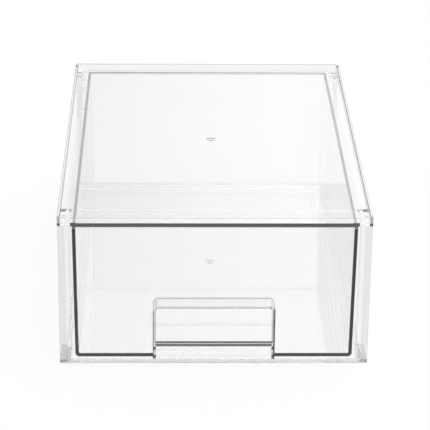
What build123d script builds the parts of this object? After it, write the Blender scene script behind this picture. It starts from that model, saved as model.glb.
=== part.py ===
"""Clear stackable drawer box: a case of five snapped panels with one sliding drawer."""

from build123d import *
import os
from math import radians, tan

os.makedirs("parts", exist_ok=True)

# Millimetres. X runs left to right, Y from the front to the back, Z up from the table.
# The origin is the middle of the case, on the table.

# Case
case_width = 235.0
case_depth = 340.0
case_height = 126.4
rim_height = 5.6  # rim round the top plate, which holds the box above
front_rim_height = 3.9
rim_thickness = 2.2
rim_round = 0.7
top_thickness = 2.4
base_thickness = 2.4
base_top = 6.6  # upper face of the base plate above the table
foot_level = 4.4  # underside of the pillars and feet above the table
plinth_setback = 3.0  # from the front and the back of the case
plinth_wall = 2.4
plinth_corner = 3.5
plinth_round = 0.6
wall_inset = 5.5  # from the outer side of the case to the side wall
wall_thickness = 2.6
base_overhang = 1.4  # how far the base plate reaches out past the side walls
pillar_thickness = 2.2
pillar_lap = 1.6  # how far the front pillars reach in past the side walls
pillar_round = 0.5
back_thickness = 2.4

# Corner joints, the same at all the corners
corner_length = 27.0
corner_opening = 7.5  # from the inner face of the rim towards the middle
lug_drop = 0.2  # how far the lugs end below the upper face of the top plate
lug_end_gap = 0.5
lug_relief = 0.8  # slit beside a bottom lug that lets it spring
lug_relief_height = 9.0
slot_gap = 0.1  # between a bottom lug or a foot and the base plate
lug_web = 1.5
lug_web_gap = 0.3
foot_thickness = 1.6
foot_relief = 0.4  # how far a foot is raised where it passes over the plinth

# Joint between the back panel and the side walls
finger_length = 20.0
finger_gap = 0.1
finger_spacing = 58.0

# Drawer stop and cross rib
stop_setback = 26.2  # from the front of the case
stop_width = 1.6
stop_height = 1.0
stop_end_gap = 3.0
cross_rib_setback = 25.0
cross_rib_width = 1.2
cross_rib_height = 0.6

# Drawer rails, each two ribs side by side
rail_spacing = 192.6
rail_width = 4.4
rail_rib = 1.3
rail_height = 2.7
rail_setback = 5.0  # from the front and the back of the case
groove_width = 14.5  # shallow groove in the front edge of the base
groove_height = 0.8
groove_depth = 1.2
groove_drop = 1.2  # from the upper face of the base plate to the groove
groove_spacing = 201.0

# Drawer
drawer_side_gap = 1.2  # between the top of the drawer front and the pillars
drawer_top_gap = 0.8
drawer_bottom_gap = 0.7
drawer_back_gap = 1.3
drawer_draft = 0.57  # degrees, on the sides
rail_gap = 0.3
stop_gap = 0.4  # between the side walls of the drawer and the stop
ceiling_gap = 0.4  # between the back of the drawer and the top plate
drawer_wall = 2.3
drawer_floor = 2.4
drawer_round = 3.0
drawer_back_round = 2.0
drawer_inner_round = 1.0
front_thickness = 2.3
front_lap = 0.35  # how far the drawer front stands out past the side walls
front_corner = 1.5
front_round = 0.6

# Finger pull, pushed in from the drawer front
pull_width = 88.6
pull_top = 49.9
pull_depth = 16.6
pull_wall = 2.2
pull_round = 2.5
pull_back_round = 1.4
lip_top = 21.9
lip_round = 0.8  # also round the way in, where it meets the drawer's front face
pull_step = 0.6  # how far the lower part of the back wall stands forward
pull_step_level = 28.4

# Gate marks, where the plastic was let into the moulds
gate_radius = 3.8
gate_nub_radius = 1.6
gate_depth = 0.5
edge_gate_radius = 2.2
edge_gate_depth = 0.4

# Levels and places that follow
half_width = case_width / 2
front = -case_depth / 2
back = case_depth / 2
top_level = case_height - rim_height
ceiling = top_level - top_thickness
base_bottom = base_top - base_thickness
wall_outer = half_width - wall_inset
wall_inner = wall_outer - wall_thickness
wall_middle = (wall_outer + wall_inner) / 2
base_half = wall_outer + base_overhang
pillar_inner = wall_inner - pillar_lap
rim_inner = half_width - rim_thickness
opening_inner = rim_inner - corner_opening
lug_start = pillar_thickness + lug_relief
lug_end = corner_length - lug_end_gap
rail_top = base_top + rail_height
floor_bottom = rail_top + rail_gap
floor_top = floor_bottom + drawer_floor
side_top = ceiling - stop_height - stop_gap
drawer_back_top = ceiling - ceiling_gap
front_top = ceiling - drawer_top_gap
front_bottom = base_top + drawer_bottom_gap
drawer_back = back - back_thickness - drawer_back_gap
pull_outer = pull_width / 2 + pull_wall


def block(x_span, y_span, z_span, mode=Mode.ADD):
    """A block between two planes on each axis."""
    low = [min(span) for span in (x_span, y_span, z_span)]
    high = [max(span) for span in (x_span, y_span, z_span)]
    with Locations(tuple(low)):
        Box(
            *(top - bottom for bottom, top in zip(low, high)),
            align=(Align.MIN, Align.MIN, Align.MIN),
            mode=mode,
        )


def from_end(end, distance):
    """The Y at a distance from the front of the case (-1) or from its back (1)."""
    return end * (case_depth / 2 - distance)


def drawer_half(level):
    """Half the width of the drawer front at a level: its sides lean out."""
    return pillar_inner - drawer_side_gap - (front_top - level) * tan(radians(drawer_draft))


def drawer_outline(bottom, top, inset, corner):
    """Front view of the drawer between two levels, with round bottom corners."""
    outline = Polygon(
        (-drawer_half(bottom) + inset, bottom),
        (drawer_half(bottom) - inset, bottom),
        (drawer_half(top) - inset, top),
        (-drawer_half(top) + inset, top),
    )
    fillet(outline.vertices().group_by(Axis.Y)[0], corner)


def upright(y):
    """The upright plane at a Y, looked at from the front."""
    return Plane.XZ.offset(-y)


def gate_mark(plane):
    """Round dish with a nub in the middle of it."""
    with BuildSketch(plane) as dish:
        Circle(gate_radius)
        Circle(gate_nub_radius, mode=Mode.SUBTRACT)
    extrude(dish.sketch, amount=-gate_depth, mode=Mode.SUBTRACT)


# Top panel: plate, rim, corner openings and the stop for the drawer
with BuildPart() as top_panel:
    with BuildSketch(Plane.XY.offset(top_level)):
        Rectangle(case_width, case_depth)
        with Locations((0, -rim_thickness / 2)):
            Rectangle(2 * rim_inner, case_depth - rim_thickness, mode=Mode.SUBTRACT)
    extrude(amount=rim_height)
    rim_edges = top_panel.edges().group_by(Axis.Z)[-1]
    fillet([edge for edge in rim_edges if edge.center().Y > front], rim_round)
    with BuildSketch(Plane.XY.offset(ceiling)):
        Rectangle(case_width, case_depth)
    extrude(amount=top_thickness)
    block(
        (-opening_inner, opening_inner),
        (front, front + rim_thickness),
        (top_level, top_level + front_rim_height),
    )
    front_rim_edges = (
        top_panel.edges()
        .filter_by(Axis.X)
        .filter_by_position(Axis.Z, top_level + front_rim_height, top_level + front_rim_height)
    )
    fillet(front_rim_edges, rim_round)
    for side in (-1, 1):
        for end in (-1, 1):
            block(
                (side * opening_inner, side * rim_inner),
                (from_end(end, rim_thickness), from_end(end, corner_length)),
                (ceiling, top_level),
                mode=Mode.SUBTRACT,
            )
    stop_half = pillar_inner - stop_end_gap
    block(
        (-stop_half, stop_half),
        (from_end(-1, stop_setback), from_end(-1, stop_setback + stop_width)),
        (ceiling - stop_height, ceiling),
    )
    gate_mark(Plane.XY.offset(top_level))
top_panel.part.label = "top_panel"
export_step(top_panel.part, "parts/top_panel.step")

# Base panel: plate on a plinth, rails for the drawer and slots for the bottom lugs
with BuildPart() as base_panel:
    plinth_half = base_half - slot_gap
    with BuildSketch(Plane.XY):
        Rectangle(2 * plinth_half, case_depth - 2 * plinth_setback)
        fillet(vertices(), plinth_corner)
    extrude(amount=base_bottom)
    fillet(base_panel.edges().group_by(Axis.Z)[0], plinth_round)
    with BuildSketch(Plane.XY):
        Rectangle(
            2 * (plinth_half - plinth_wall),
            case_depth - 2 * (plinth_setback + plinth_wall),
        )
    extrude(amount=base_bottom, mode=Mode.SUBTRACT)
    with BuildSketch(Plane.XY.offset(base_bottom)):
        Rectangle(2 * base_half, case_depth)
    extrude(amount=base_thickness)
    for side in (-1, 1):
        for end in (-1, 1):
            # Slot for the bottom lug, and room beside it for the foot
            block(
                (side * (wall_inner - slot_gap), side * base_half),
                (from_end(end, lug_start - slot_gap), from_end(end, lug_end + slot_gap)),
                (base_bottom, base_top),
                mode=Mode.SUBTRACT,
            )
            block(
                (side * (wall_outer - slot_gap), side * base_half),
                (from_end(end, 0), from_end(end, corner_length + slot_gap)),
                (base_bottom, base_top),
                mode=Mode.SUBTRACT,
            )
        for offset_in_rail in (0, rail_width - rail_rib):
            rib_inner = rail_spacing / 2 - rail_width / 2 + offset_in_rail
            block(
                (side * rib_inner, side * (rib_inner + rail_rib)),
                (from_end(-1, rail_setback), from_end(1, rail_setback)),
                (base_top, rail_top),
            )
        groove_inner = (groove_spacing - groove_width) / 2
        block(
            (side * groove_inner, side * (groove_inner + groove_width)),
            (front, front + groove_depth),
            (base_top - groove_drop - groove_height, base_top - groove_drop),
            mode=Mode.SUBTRACT,
        )
    rail_inner = (rail_spacing - rail_width) / 2
    block(
        (-rail_inner, rail_inner),
        (from_end(-1, cross_rib_setback), from_end(-1, cross_rib_setback + cross_rib_width)),
        (base_top, base_top + cross_rib_height),
    )
base_panel.part.label = "base_panel"
export_step(base_panel.part, "parts/base_panel.step")

# Side panels: wall with a pillar at each end, lugs at the corners and feet beside the plinth
with BuildPart() as side_panel_right:
    with BuildSketch(Plane.XY.offset(base_top)):
        with BuildLine():
            Polyline(
                (wall_inner, back),
                (wall_inner, front + pillar_thickness),
                (pillar_inner, front + pillar_thickness),
                (pillar_inner, front),
                (half_width, front),
                (half_width, front + pillar_thickness),
                (wall_outer, front + pillar_thickness),
                (wall_outer, back - pillar_thickness),
                (half_width, back - pillar_thickness),
                (half_width, back),
                close=True,
            )
        make_face()
    extrude(amount=ceiling - base_top)
    outer_edges = side_panel_right.edges().filter_by(Axis.Z).group_by(Axis.X)[-1]
    inner_edges = side_panel_right.edges().filter_by(Axis.Z).group_by(Axis.X)[0]
    fillet(outer_edges + inner_edges, pillar_round)
    for end in (-1, 1):
        lug_span = (from_end(end, lug_start), from_end(end, lug_end))
        # Top lug with a web across the opening, and the bottom lug
        block((wall_inner, wall_outer), lug_span, (ceiling, top_level - lug_drop))
        lug_middle = (lug_start + lug_end) / 2
        block(
            (wall_outer, rim_inner - lug_web_gap),
            (from_end(end, lug_middle - lug_web / 2), from_end(end, lug_middle + lug_web / 2)),
            (ceiling, top_level - lug_drop),
        )
        block((wall_inner, wall_outer), lug_span, (foot_level, base_top))
        # Foot, and the pillar carried down to it
        foot_span = (from_end(end, 0), from_end(end, corner_length))
        block((wall_outer, half_width), foot_span, (foot_level, foot_level + foot_thickness))
        block(
            (wall_outer, base_half + slot_gap),
            foot_span,
            (foot_level, foot_level + foot_relief),
            mode=Mode.SUBTRACT,
        )
        pillar_span = (from_end(end, 0), from_end(end, pillar_thickness))
        block((wall_outer, half_width), pillar_span, (foot_level, base_top))
        # Slit that lets the bottom lug spring
        block(
            (wall_inner, wall_outer),
            (from_end(end, pillar_thickness), from_end(end, lug_start)),
            (base_top, base_top + lug_relief_height),
            mode=Mode.SUBTRACT,
        )
    # Notches for the fingers of the back panel
    finger_middle = (base_top + ceiling) / 2
    for level in (finger_middle - finger_spacing / 2, finger_middle + finger_spacing / 2):
        block(
            (wall_inner, wall_outer + finger_gap),
            (back - back_thickness - finger_gap, back),
            (level - finger_length / 2 - finger_gap, level + finger_length / 2 + finger_gap),
            mode=Mode.SUBTRACT,
        )
    with BuildSketch(upright(front)):
        with Locations((wall_middle, (base_top + ceiling) / 2)):
            Circle(edge_gate_radius)
    extrude(amount=-edge_gate_depth, mode=Mode.SUBTRACT)
side_panel_right.part.label = "side_panel_right"
export_step(side_panel_right.part, "parts/side_panel_right.step")

with BuildPart() as side_panel_left:
    mirror(side_panel_right.part, about=Plane.YZ)
side_panel_left.part.label = "side_panel_left"
export_step(side_panel_left.part, "parts/side_panel_left.step")

# Back panel: plate between the side walls, with fingers that reach through them
with BuildPart() as back_panel:
    block((-wall_inner, wall_inner), (back - back_thickness, back), (base_top, ceiling))
    for level in (finger_middle - finger_spacing / 2, finger_middle + finger_spacing / 2):
        block(
            (-wall_outer, wall_outer),
            (back - back_thickness, back),
            (level - finger_length / 2, level + finger_length / 2),
        )
back_panel.part.label = "back_panel"
export_step(back_panel.part, "parts/back_panel.step")

# Inside of the drawer
with BuildPart() as drawer_hollow:
    with BuildSketch(upright(drawer_back - drawer_wall)):
        drawer_outline(floor_top, ceiling, front_lap + drawer_wall, drawer_inner_round)
    extrude(amount=drawer_back - drawer_wall - front - front_thickness)
    hollow_back = drawer_hollow.faces().sort_by(Axis.Y)[-1]
    back_corners = [edge for edge in hollow_back.edges() if edge.center().Z < side_top]
    fillet(back_corners, drawer_inner_round)

# Outside of the finger pull
with BuildPart() as pull_walls:
    with BuildSketch(upright(front + front_thickness)):
        with Locations((0, (front_bottom + pull_top + pull_wall) / 2)):
            Rectangle(2 * pull_outer, pull_top + pull_wall - front_bottom)
        fillet(vertices().group_by(Axis.Y)[-1], pull_round + pull_wall)
    extrude(amount=-(pull_depth + pull_wall - front_thickness))
    pull_back = pull_walls.faces().sort_by(Axis.Y)[-1]
    back_edges = [edge for edge in pull_back.edges() if edge.center().Z > front_bottom]
    fillet(back_edges, pull_back_round)

# Drawer: front, sides, floor, back and finger pull in one
with BuildPart() as drawer:
    with BuildSketch(upright(drawer_back)):
        drawer_outline(floor_bottom, drawer_back_top, front_lap, drawer_round)
    extrude(amount=drawer_back - front - front_thickness)
    tub_back = drawer.faces().sort_by(Axis.Y)[-1]
    back_corners = [edge for edge in tub_back.edges() if edge.center().Z < side_top]
    fillet(back_corners, drawer_back_round)
    add(drawer_hollow.part, mode=Mode.SUBTRACT)
    block(
        (-half_width, half_width),
        (front, drawer_back - drawer_wall),
        (side_top, case_height),
        mode=Mode.SUBTRACT,
    )
    with BuildSketch(upright(front)):
        drawer_outline(front_bottom, front_top, 0, front_corner)
    extrude(amount=-front_thickness)
    fillet(drawer.faces().sort_by(Axis.Y)[0].edges(), front_round)
    # The finger pull's walls, then its hollow and the way in over the lip
    add(pull_walls.part)
    with BuildSketch(upright(front + front_thickness)):
        with Locations((0, (front_bottom + pull_top) / 2)):
            Rectangle(pull_width, pull_top - front_bottom)
        fillet(vertices().group_by(Axis.Y)[-1], pull_round)
    extrude(amount=-(pull_depth - front_thickness), mode=Mode.SUBTRACT)
    with BuildSketch(upright(front)):
        with Locations((0, (lip_top + pull_top) / 2)):
            Rectangle(pull_width, pull_top - lip_top)
        fillet(vertices().group_by(Axis.Y)[-1], pull_round)
    extrude(amount=-front_thickness, mode=Mode.SUBTRACT)
    lip_edges = drawer.edges().filter_by(Axis.X).filter_by_position(Axis.Z, lip_top, lip_top)
    front_edges = drawer.edges().filter_by_position(Axis.Y, front, front)
    window_edges = front_edges.filter_by_position(Axis.Z, lip_top + 1, pull_top)
    window_edges = [edge for edge in window_edges if abs(edge.center().X) < pull_width / 2 + 1]
    fillet([*lip_edges, *window_edges], lip_round)
    block(
        (-pull_width / 2, pull_width / 2),
        (front + pull_depth - pull_step, front + pull_depth),
        (front_bottom, pull_step_level),
    )
    gate_mark(Plane((0, (front + drawer_back) / 2, floor_bottom), z_dir=(0, 0, -1)))
drawer.part.label = "drawer"
export_step(drawer.part, "parts/drawer.step")
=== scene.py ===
from math import pi, radians, sqrt

import bpy
from mathutils import Matrix

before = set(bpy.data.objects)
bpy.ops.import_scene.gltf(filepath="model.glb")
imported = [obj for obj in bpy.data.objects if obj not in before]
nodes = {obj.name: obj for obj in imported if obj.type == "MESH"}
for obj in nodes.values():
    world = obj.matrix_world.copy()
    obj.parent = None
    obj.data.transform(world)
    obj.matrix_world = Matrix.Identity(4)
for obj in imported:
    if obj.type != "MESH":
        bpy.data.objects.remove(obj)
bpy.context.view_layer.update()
print("loaded:", ", ".join(sorted(nodes)))


class Signal:
    # an output socket; expressions of signals and numbers add their own Math nodes
    def __init__(self, graph, socket):
        self.graph = graph
        self.socket = socket

    def __add__(self, other):
        return self.graph.maths("ADD", self, other)

    def __radd__(self, other):
        return self.graph.maths("ADD", other, self)

    def __sub__(self, other):
        return self.graph.maths("SUBTRACT", self, other)

    def __rsub__(self, other):
        return self.graph.maths("SUBTRACT", other, self)

    def __mul__(self, other):
        return self.graph.maths("MULTIPLY", self, other)

    def __rmul__(self, other):
        return self.graph.maths("MULTIPLY", other, self)

    def __pow__(self, other):
        return self.graph.maths("POWER", self, other)

    def __gt__(self, other):
        return self.graph.maths("GREATER_THAN", self, other)

    def __lt__(self, other):
        return self.graph.maths("LESS_THAN", self, other)

    def __abs__(self):
        return self.graph.maths("ABSOLUTE", self)


class Graph:
    # the node tree of a material or of the world
    def __init__(self, owner):
        owner.use_nodes = True
        self.tree = owner.node_tree
        self.tree.nodes.clear()

    def node(self, kind, settings, values, output=0):
        made = self.tree.nodes.new(kind)
        for key, value in settings.items():
            setattr(made, key, value)
        for key, value in values.items():
            if isinstance(value, Signal):
                self.tree.links.new(value.socket, made.inputs[key])
            else:
                made.inputs[key].default_value = value
        if len(made.outputs) == 0:
            return None
        return Signal(self, made.outputs[output])

    def maths(self, operation, *values):
        return self.node("ShaderNodeMath", {"operation": operation}, dict(enumerate(values)))

    def either(self, first, second):
        return self.maths("MAXIMUM", first, second)

    def band(self, value, low, high, soft):
        # 1 between two levels, fading out over "soft" on both sides
        rise = self.node(
            "ShaderNodeMapRange", {}, {"Value": value, "From Min": low - soft, "From Max": low}
        )
        fall = self.node(
            "ShaderNodeMapRange", {}, {"Value": value, "From Min": high + soft, "From Max": high}
        )
        return rise * fall

    def pastCorner(self, across, up):
        # how far a point is past a corner, where only distances above 0 count
        across = self.maths("MAXIMUM", across, 0.0)
        up = self.maths("MAXIMUM", up, 0.0)
        return self.maths("SQRT", across * across + up * up)

    def mixShaders(self, share, first, second):
        return self.node("ShaderNodeMixShader", {}, {0: share, 1: first, 2: second})


def newMaterial(name):
    material = bpy.data.materials.new(name)
    return material, Graph(material)


def grey(level):
    return (level, level, level, 1)


# the moulded surface: slow waves from the mould's flow, and fine handling scuffs
surface = {
    "stretch": (1.0, 0.35, 1.0),
    "waveScale": 14.0,
    "waveDetail": 1.0,
    "waveDepth": 0.00004,
    "scuffScale": 260.0,
    "scuffDetail": 3.0,
    "scuffFrom": 0.62,
    "scuffTo": 0.8,
    "roughness": 0.012,
    "scuffRoughness": 0.05,
}


def mouldedSurface(graph):
    place = graph.node("ShaderNodeTexCoord", {}, {}, "Object")
    stretched = graph.node(
        "ShaderNodeMapping", {}, {"Vector": place, "Scale": surface["stretch"]}
    )
    waves = graph.node(
        "ShaderNodeTexNoise",
        {},
        {"Vector": stretched, "Scale": surface["waveScale"], "Detail": surface["waveDetail"]},
    )
    normal = graph.node(
        "ShaderNodeBump", {}, {"Height": waves, "Distance": surface["waveDepth"], "Strength": 1.0}
    )
    specks = graph.node(
        "ShaderNodeTexNoise",
        {},
        {"Vector": place, "Scale": surface["scuffScale"], "Detail": surface["scuffDetail"]},
    )
    scuffs = graph.node(
        "ShaderNodeMapRange",
        {},
        {"Value": specks, "From Min": surface["scuffFrom"], "From Max": surface["scuffTo"]},
    )
    roughness = surface["roughness"] + scuffs * surface["scuffRoughness"]
    return normal, roughness


# each piece's clear plastic: "bend" is the share of the light that it bends, "tint" what it lets
# through, then a darker tint painted as shade where the wall is seen from its end, and "sheen"
# how much it mirrors
sideWall = {"bend": 0.1, "tint": 1.0, "paintedEndTint": 0.8, "sheen": 0.2}
walls = {
    "top_panel": {"bend": 1.0, "tint": 1.0, "paintedEndTint": 0.9, "sheen": 1.0},
    "drawer": {"bend": 1.0, "tint": 0.98, "paintedEndTint": 0.03, "sheen": 1.0},
    "base_panel": {"bend": 0.15, "tint": 1.0, "paintedEndTint": 0.6, "sheen": 0.4},
    "back_panel": {"bend": 0.25, "tint": 0.97, "sheen": 0.5},
    "side_panel_left": sideWall,
    "side_panel_right": sideWall,
}
# what the pieces share: "gloss" is the mirrored share face on, which rises steeply to 1 at a
# glance, then a faint painted glow, emitted light standing in for light scattered along a wall,
# and "matt" the grey of the matt edges
plastic = {"ior": 1.5, "gloss": 0.04, "steepness": 5, "paintedGlow": 0.01, "matt": 0.95}

# where the other pieces' walls are seen from their ends and get a painted shade, a darker tint:
# the top panel's back rim, the base panel's front, and on the side panels the outer flanges and,
# by a share, the pillars
paintedShadePlaces = {
    "rim": 0.1675,
    "baseFront": -0.169,
    "flange": 0.1121,
    "pillar": 0.155,
    "pillarShare": 0.35,
}

# the drawer's front, where its walls, its floor and the pull's walls are seen from their ends:
# they carry the light away, which darkens their ends a little, and a painted shade makes the rest
# of the dark outline
paintedOutlineEdges = {
    "face": -0.1675,
    "halfWidth": 0.1066,
    "top": 0.1176,
    "draft": 0.00995,
    "floor": 0.0094,
    "corner": 0.003,
    "from": 0.0005,
    "to": 0.0021,
    "soft": 0.0004,
}
paintedPullShade = {
    "halfWidth": 0.0443,
    "top": 0.0499,
    "round": 0.0025,
    "wall": 0.0019,
    "dark": 0.55,
    "lipFrom": 0.0212,
    "lipTo": 0.022,
    "lipSoft": 0.0001,
}

# the upper edge at the pull's back bends the light less, so that it shows as a fainter line
pullBack = {"deep": (-0.1545, -0.1505), "up": (0.0485, 0.0525), "soft": 0.0002, "bend": 0.25}
# the side panels bend more at their lugs above, their feet below and their back pillars
sideEdges = {"above": 0.1186, "below": 0.0065, "behind": 0.155, "bend": 0.9}
# the base panel bends more at its outer edges, its rails above and its plinth below
baseEdges = {"deep": 0.165, "across": 0.1105, "above": 0.0067, "below": 0.0041, "bend": 0.6}

# edges that the mould leaves matt: the tops of the drawer's side walls, and in the top panel the
# rim's front ends and the back faces of the openings at the front corners
mattEdges = {
    "sideTop": (0.1169, 0.1171),
    "sideShare": 0.85,
    "rim": 0.115,
    "plate": 0.1209,
    "front": -0.1695,
    "openingAcross": (0.1065, 0.1153),
    "openingBack": (-0.1434, -0.1426),
    "topShare": 0.6,
    "soft": 0.0001,
}


def pointOn(graph):
    place = graph.node("ShaderNodeTexCoord", {}, {}, "Object")
    return [graph.node("ShaderNodeSeparateXYZ", {}, {"Vector": place}, axis) for axis in "XYZ"]


# a painted shade on the drawer's front face: a near-black outline along the ends of its walls and
# floor, a ring round the pull and a line at the lip
def drawerPaintedOutline(graph):
    across, deep, up = pointOn(graph)
    across = abs(across)

    # how far inside the drawer's outline a point is, up to the corner radius
    corner = paintedOutlineEdges["corner"]
    half = paintedOutlineEdges["halfWidth"] - (paintedOutlineEdges["top"] - up) * paintedOutlineEdges["draft"]
    past = graph.pastCorner(corner - (half - across), corner - (up - paintedOutlineEdges["floor"]))
    outline = graph.band(corner - past, paintedOutlineEdges["from"], paintedOutlineEdges["to"], paintedOutlineEdges["soft"])

    # how far outside the pull's opening a point is
    turn = paintedPullShade["round"]
    past = graph.pastCorner(
        across - (paintedPullShade["halfWidth"] - turn), up - (paintedPullShade["top"] - turn)
    )
    outside = past - turn
    ring = graph.band(outside, 0.0, paintedPullShade["wall"], paintedOutlineEdges["soft"])
    lip = graph.band(up, paintedPullShade["lipFrom"], paintedPullShade["lipTo"], paintedPullShade["lipSoft"])
    lip = lip * (across < paintedPullShade["halfWidth"])

    paintedShadeMask = graph.either(outline * (outside > paintedPullShade["wall"]), ring * paintedPullShade["dark"])
    return (deep < paintedOutlineEdges["face"]) * graph.either(paintedShadeMask, lip)


def wallPaintedShade(graph, name):
    # 1 where a piece's wall is seen from its end and gets a painted shade, 0 elsewhere
    if name == "drawer":
        return drawerPaintedOutline(graph)
    across, deep, up = pointOn(graph)
    if name == "top_panel":
        return deep > paintedShadePlaces["rim"]
    if name == "base_panel":
        return deep < paintedShadePlaces["baseFront"]
    pillar = (abs(deep) > paintedShadePlaces["pillar"]) * paintedShadePlaces["pillarShare"]
    return graph.either(abs(across) > paintedShadePlaces["flange"], pillar)


def bending(graph, name, usual):
    # the share of light that is bent, which changes at some pieces' edges
    if name in ("top_panel", "back_panel"):
        return usual
    across, deep, up = pointOn(graph)
    if name == "drawer":
        edge = graph.band(deep, *pullBack["deep"], pullBack["soft"])
        edge = edge * graph.band(up, *pullBack["up"], pullBack["soft"])
        return usual + edge * (pullBack["bend"] - usual)
    if name == "base_panel":
        edges = baseEdges
        outer = graph.either(abs(deep) > edges["deep"], abs(across) > edges["across"])
    else:
        edges = sideEdges
        outer = deep > edges["behind"]
    edge = graph.either(outer, (up > edges["above"]) + (up < edges["below"]))
    return usual + edge * (edges["bend"] - usual)


def mattShare(graph, name):
    across, deep, up = pointOn(graph)
    soft = mattEdges["soft"]
    if name == "drawer":
        return mattEdges["sideShare"] * graph.band(up, *mattEdges["sideTop"], soft)
    across = abs(across)
    rim = (across > mattEdges["rim"]) * (up > mattEdges["plate"]) * (deep < mattEdges["front"])
    opening = graph.band(across, *mattEdges["openingAcross"], soft)
    opening = opening * graph.band(deep, *mattEdges["openingBack"], soft)
    return mattEdges["topShare"] * graph.either(rim, opening)


def seeThrough(graph, level):
    # light crosses a wall through two faces, so each takes the root of what it lets through
    return graph.node("ShaderNodeBsdfTransparent", {}, {"Color": grey(sqrt(level))})


def clearPlastic(name, wall):
    material, graph = newMaterial(name)
    normal, roughness = mouldedSurface(graph)
    colour = grey(wall["tint"])
    through = seeThrough(graph, wall["tint"])
    # where a wall is seen from its end, a darker tint is painted in as shade, on the light let
    # through and on the bent light's colour
    if "paintedEndTint" in wall:
        paintedShadeMask = wallPaintedShade(graph, name)
        through = graph.mixShaders(paintedShadeMask, through, seeThrough(graph, wall["paintedEndTint"]))
        colour = graph.node(
            "ShaderNodeMix", {"data_type": "RGBA"}, {0: paintedShadeMask, 6: colour, 7: grey(wall["paintedEndTint"])}, 2
        )
    refracted = graph.node(
        "ShaderNodeBsdfPrincipled",
        {},
        {
            "Base Color": colour,
            "Roughness": roughness,
            "IOR": plastic["ior"],
            "Transmission Weight": 1.0,
            # a faint painted glow: emitted white light in place of light scattered along the
            # walls
            "Emission Color": grey(1.0),
            "Emission Strength": plastic["paintedGlow"],
            "Normal": normal,
        },
    )
    gloss = graph.node("ShaderNodeBsdfGlossy", {}, {"Roughness": roughness, "Normal": normal})
    facing = graph.node("ShaderNodeLayerWeight", {}, {"Blend": 0.5, "Normal": normal}, "Facing")
    mirrored = plastic["gloss"] + (1 - plastic["gloss"]) * facing ** plastic["steepness"]
    straight = graph.mixShaders(wall["sheen"] * mirrored, through, gloss)
    shader = graph.mixShaders(bending(graph, name, wall["bend"]), straight, refracted)
    if name in ("top_panel", "drawer"):
        matt = graph.node("ShaderNodeBsdfDiffuse", {}, {"Color": grey(plastic["matt"])})
        shader = graph.mixShaders(mattShare(graph, name), shader, matt)
    graph.node("ShaderNodeOutputMaterial", {}, {"Surface": shader})
    return material


for name, wall in walls.items():
    nodes[name].data.materials.clear()
    nodes[name].data.materials.append(clearPlastic(name, wall))
print("finishes on", len(walls), "pieces")

# camera, at the photograph's angle
view = {
    "place": (-0.03493, -1.53816, 0.72776),
    "pitch": 23.673,
    "yaw": -1.4511,
    "roll": 0.6575,
    "lens": 168.9,
    "sensor": 36,
    "reach": 20,
}
cameraData = bpy.data.cameras.new("camera")
cameraData.lens = view["lens"]
cameraData.sensor_width = view["sensor"]
cameraData.clip_end = view["reach"]
camera = bpy.data.objects.new("camera", cameraData)
bpy.context.collection.objects.link(camera)
turned = (
    Matrix.Rotation(radians(view["yaw"]), 4, "Z")
    @ Matrix.Rotation(pi / 2 - radians(view["pitch"]), 4, "X")
    @ Matrix.Rotation(radians(view["roll"]), 4, "Z")
)
camera.matrix_world = Matrix.Translation(view["place"]) @ turned
bpy.context.scene.camera = camera
print("camera placed")


def seenDirectly(graph):
    # 1 on rays from the eye, off gloss and bent by clear plastic, 0 on diffuse ones
    fromEye, offGloss, bent = [
        graph.node("ShaderNodeLightPath", {}, {}, kind)
        for kind in ("Is Camera Ray", "Is Glossy Ray", "Is Transmission Ray")
    ]
    return graph.maths("MINIMUM", fromEye + offGloss + bent, 1.0)


# floor, which shows white but still takes the object's shadow
ground = {"size": 8, "colour": grey(0.9), "shown": 1.07, "share": 0.85}
bpy.ops.mesh.primitive_plane_add(size=ground["size"])
floor = bpy.context.object
floor.name = "floor"
floorWhite, graph = newMaterial("floorWhite")
matt = graph.node("ShaderNodeBsdfDiffuse", {}, {"Color": ground["colour"]})
shown = graph.node("ShaderNodeEmission", {}, {"Strength": ground["shown"]})
shader = graph.mixShaders(ground["share"] * seenDirectly(graph), matt, shown)
graph.node("ShaderNodeOutputMaterial", {}, {"Surface": shader})
floor.data.materials.append(floorWhite)
print("floor laid")

# white studio, dimmer on the left; the eye sees it white all round
studio = {"left": 0.46, "right": 1.0, "from": -0.15, "to": 0.1}
world = bpy.data.worlds.new("studio")
bpy.context.scene.world = world
graph = Graph(world)
direction = graph.node("ShaderNodeTexCoord", {}, {}, "Generated")
across = graph.node("ShaderNodeSeparateXYZ", {}, {"Vector": direction}, "X")
level = graph.node(
    "ShaderNodeMapRange",
    {"interpolation_type": "SMOOTHSTEP"},
    {
        "Value": across,
        "From Min": studio["from"],
        "From Max": studio["to"],
        "To Min": studio["left"],
        "To Max": studio["right"],
    },
)
eye = graph.node("ShaderNodeLightPath", {}, {}, "Is Camera Ray")
sky = graph.node(
    "ShaderNodeBackground", {}, {"Color": grey(1.0), "Strength": eye + (1 - eye) * level}
)
graph.node("ShaderNodeOutputWorld", {}, {"Surface": sky})
bpy.context.scene.view_settings.view_transform = "Standard"
print("studio set")
